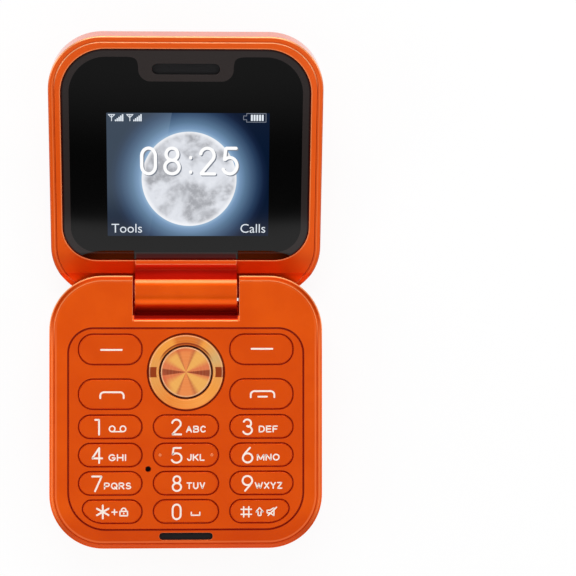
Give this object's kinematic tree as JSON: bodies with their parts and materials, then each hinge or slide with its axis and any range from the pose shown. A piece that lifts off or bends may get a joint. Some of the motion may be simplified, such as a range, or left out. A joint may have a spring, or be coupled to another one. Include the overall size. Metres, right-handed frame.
{
  "type": "flip phone",
  "caption": "Square folding phone: a keypad half and a display half joined by a barrel hinge that opens to a flat-lying angle.",
  "frame": {"origin": "centre of the base's flat rear face", "axes": "+Z out of the keypad, +X to the right across the keys, +Y from the keys towards the hinge and the open lid"},
  "size_m": [0.0584, 0.1104, 0.0219],
  "materials": {
    "orange_plastic": "satin metallic orange lacquer",
    "gold_metal": "spun and lacquered orange-gold",
    "dark_plastic": "matt moulded",
    "mesh": "black woven mesh",
    "cover_glass": "polished, black printed behind",
    "display": "lit display",
    "silicone": "dark red silicone",
    "film": "polyimide film",
    "circuit_board": "green solder mask",
    "chip_black": "moulded epoxy",
    "steel": "plain steel",
    "battery_wrap": "wrapped cell",
    "foam": "soft foam"
  },
  "bodies": {
    "base": {"rear_shell": "orange_plastic", "front_frame": "orange_plastic", "keypad_panel": "orange_plastic", "keypad_mat": "silicone", "dome_sheet": "film", "main_board": "circuit_board", "shield_can": "steel", "board_chips": "chip_black", "battery": "battery_wrap", "battery_pad": "foam", "microphone": "chip_black", "vibration_motor": "steel", "loudspeaker": "dark_plastic", "antenna": "dark_plastic", "slot_mesh": "mesh", "usb_socket": "steel", "usb_tongue": "dark_plastic", "sim_socket": "steel", "strap_pin": "steel", "base_screws": "steel", "hinge_bush": "steel", "hinge_shaft": "steel", "base_cable": "film"},
    "lid": {"lid_outer_shell": "orange_plastic", "lid_inner_frame": "orange_plastic", "lid_glass": "cover_glass", "display_panel": "display", "backlight": "dark_plastic", "display_tray": "steel", "lid_board": "circuit_board", "earpiece_mesh": "mesh", "earpiece": "dark_plastic", "lid_magnet": "steel", "lid_cable": "film", "lid_screws": "steel", "hinge_cartridge": "steel", "hinge_follower": "steel", "hinge_spring": "steel"},
    "sim_tray": {"sim_tray": "orange_plastic"},
    "nav_rocker": {"nav_rocker": "dark_plastic"},
    "nav_ring": {"nav_ring": "gold_metal"},
    "ok_button": {"ok_button": "gold_metal"},
    "key_soft_left": {"key_soft_left": "orange_plastic"},
    "key_soft_right": {"key_soft_right": "orange_plastic"},
    "key_call": {"key_call": "orange_plastic"},
    "key_end": {"key_end": "orange_plastic"},
    "key_1": {"key_1": "orange_plastic"},
    "key_2": {"key_2": "orange_plastic"},
    "key_3": {"key_3": "orange_plastic"},
    "key_4": {"key_4": "orange_plastic"},
    "key_5": {"key_5": "orange_plastic"},
    "key_6": {"key_6": "orange_plastic"},
    "key_7": {"key_7": "orange_plastic"},
    "key_8": {"key_8": "orange_plastic"},
    "key_9": {"key_9": "orange_plastic"},
    "key_star": {"key_star": "orange_plastic"},
    "key_0": {"key_0": "orange_plastic"},
    "key_hash": {"key_hash": "orange_plastic"}
  },
  "joints": [
    {"name": "lid_hinge", "type": "hinge", "parent": "base", "child": "lid", "pos_m": [0, 0.02595, 0.00785], "axis": [1, 0, 0], "range_deg": [0, 160]},
    {"name": "sim_tray_slide", "type": "slide", "parent": "base", "child": "sim_tray", "axis": [1, 0, 0], "range_m": [0, 0.0152]},
    {"name": "ring_tilt_left_right", "type": "hinge", "parent": "base", "child": "nav_rocker", "pos_m": [0, 0.00858, 0.01097], "axis": [0, 1, 0], "range_deg": [-1.2, 1.2], "stiffness_Nm_per_rad": 0.02},
    {"name": "ring_tilt_up_down", "type": "hinge", "parent": "nav_rocker", "child": "nav_ring", "pos_m": [0, 0.00858, 0.01097], "axis": [1, 0, 0], "range_deg": [-1.2, 1.2], "stiffness_Nm_per_rad": 0.02},
    {"name": "ok_press", "type": "slide", "parent": "base", "child": "ok_button", "axis": [0, 0, -1], "range_m": [0, 0.0003], "stiffness_N_per_m": 150, "springref_m": -0.0003},
    {"name": "key_soft_left_press", "type": "slide", "parent": "base", "child": "key_soft_left", "axis": [0, 0, -1], "range_m": [0, 0.0003], "stiffness_N_per_m": 150, "springref_m": -0.0003},
    {"name": "key_soft_right_press", "type": "slide", "parent": "base", "child": "key_soft_right", "axis": [0, 0, -1], "range_m": [0, 0.0003], "stiffness_N_per_m": 150, "springref_m": -0.0003},
    {"name": "key_call_press", "type": "slide", "parent": "base", "child": "key_call", "axis": [0, 0, -1], "range_m": [0, 0.0003], "stiffness_N_per_m": 150, "springref_m": -0.0003},
    {"name": "key_end_press", "type": "slide", "parent": "base", "child": "key_end", "axis": [0, 0, -1], "range_m": [0, 0.0003], "stiffness_N_per_m": 150, "springref_m": -0.0003},
    {"name": "key_1_press", "type": "slide", "parent": "base", "child": "key_1", "axis": [0, 0, -1], "range_m": [0, 0.0003], "stiffness_N_per_m": 150, "springref_m": -0.0003},
    {"name": "key_2_press", "type": "slide", "parent": "base", "child": "key_2", "axis": [0, 0, -1], "range_m": [0, 0.0003], "stiffness_N_per_m": 150, "springref_m": -0.0003},
    {"name": "key_3_press", "type": "slide", "parent": "base", "child": "key_3", "axis": [0, 0, -1], "range_m": [0, 0.0003], "stiffness_N_per_m": 150, "springref_m": -0.0003},
    {"name": "key_4_press", "type": "slide", "parent": "base", "child": "key_4", "axis": [0, 0, -1], "range_m": [0, 0.0003], "stiffness_N_per_m": 150, "springref_m": -0.0003},
    {"name": "key_5_press", "type": "slide", "parent": "base", "child": "key_5", "axis": [0, 0, -1], "range_m": [0, 0.0003], "stiffness_N_per_m": 150, "springref_m": -0.0003},
    {"name": "key_6_press", "type": "slide", "parent": "base", "child": "key_6", "axis": [0, 0, -1], "range_m": [0, 0.0003], "stiffness_N_per_m": 150, "springref_m": -0.0003},
    {"name": "key_7_press", "type": "slide", "parent": "base", "child": "key_7", "axis": [0, 0, -1], "range_m": [0, 0.0003], "stiffness_N_per_m": 150, "springref_m": -0.0003},
    {"name": "key_8_press", "type": "slide", "parent": "base", "child": "key_8", "axis": [0, 0, -1], "range_m": [0, 0.0003], "stiffness_N_per_m": 150, "springref_m": -0.0003},
    {"name": "key_9_press", "type": "slide", "parent": "base", "child": "key_9", "axis": [0, 0, -1], "range_m": [0, 0.0003], "stiffness_N_per_m": 150, "springref_m": -0.0003},
    {"name": "key_star_press", "type": "slide", "parent": "base", "child": "key_star", "axis": [0, 0, -1], "range_m": [0, 0.0003], "stiffness_N_per_m": 150, "springref_m": -0.0003},
    {"name": "key_0_press", "type": "slide", "parent": "base", "child": "key_0", "axis": [0, 0, -1], "range_m": [0, 0.0003], "stiffness_N_per_m": 150, "springref_m": -0.0003},
    {"name": "key_hash_press", "type": "slide", "parent": "base", "child": "key_hash", "axis": [0, 0, -1], "range_m": [0, 0.0003], "stiffness_N_per_m": 150, "springref_m": -0.0003}
  ]
}
